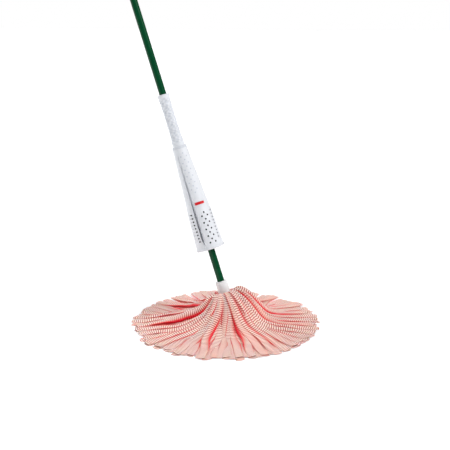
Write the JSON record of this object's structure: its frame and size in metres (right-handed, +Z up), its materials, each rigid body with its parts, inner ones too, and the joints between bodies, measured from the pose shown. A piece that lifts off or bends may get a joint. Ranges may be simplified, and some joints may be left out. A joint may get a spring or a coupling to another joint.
{
  "type": "string mop",
  "caption": "Twist-wring string mop: slim leaning tube handle, sliding lobed wringer cup with a grip, clear screw socket and a round head of knitted strips.",
  "frame": {"origin": "centre of the spread strips, on the floor", "axes": "+Z up from the floor; the handle leans towards -X in the XZ plane"},
  "size_m": [0.7279, 0.576, 1.3129],
  "materials": {
    "green_paint": "gloss",
    "green_plastic": "satin",
    "white_plastic": "satin",
    "clear_plastic": "clear gloss",
    "lilac_plastic": "satin",
    "bush_plastic": "satin",
    "drag_rubber": "matte",
    "red_plastic": "gloss",
    "steel": "brushed",
    "band_cloth": "woven",
    "strip_cloth": "knitted"
  },
  "bodies": {
    "strips_on_floor": {"strip_centre": "strip_cloth", "strip_bundle_01": "strip_cloth", "strip_bundle_02": "strip_cloth", "strip_bundle_03": "strip_cloth", "strip_bundle_04": "strip_cloth", "strip_bundle_05": "strip_cloth", "strip_bundle_06": "strip_cloth", "strip_bundle_07": "strip_cloth", "strip_bundle_08": "strip_cloth", "strip_bundle_09": "strip_cloth", "strip_bundle_10": "strip_cloth", "strip_bundle_11": "strip_cloth", "strip_bundle_12": "strip_cloth"},
    "handle": {"handle_tube": "green_paint", "handle_end_cap": "green_plastic", "thread_plug": "lilac_plastic", "plug_pin": "steel", "head_socket": "clear_plastic", "clamp_plate": "white_plastic", "clamp_washer": "steel", "clamp_screw": "steel", "strip_band": "band_cloth", "strip_crown": "strip_cloth"},
    "slide_bush": {"friction_bush": "bush_plastic", "friction_ring": "drag_rubber"},
    "wringer": {"wringer_grip": "white_plastic", "coupling_ring": "white_plastic", "wringer_cup": "white_plastic", "lower_bush": "bush_plastic", "bush_retainer": "bush_plastic", "cup_screws": "steel", "badge": "red_plastic"}
  },
  "joints": [
    {"name": "handle_lean", "type": "hinge", "parent": "strips_on_floor", "child": "handle", "pos_m": [0.0125, 0, 0.07], "axis": [0, 1, 0], "range_deg": [-30, 40]},
    {"name": "wringer_slide", "type": "slide", "parent": "handle", "child": "slide_bush", "axis": [-0.3371, 0, 0.9415], "range_m": [-0.115, 0.57]},
    {"name": "wringer_twist", "type": "hinge", "parent": "slide_bush", "child": "wringer", "pos_m": [-0.20661, 0, 0.68196], "axis": [-0.3371, 0, 0.9415], "continuous": true}
  ]
}
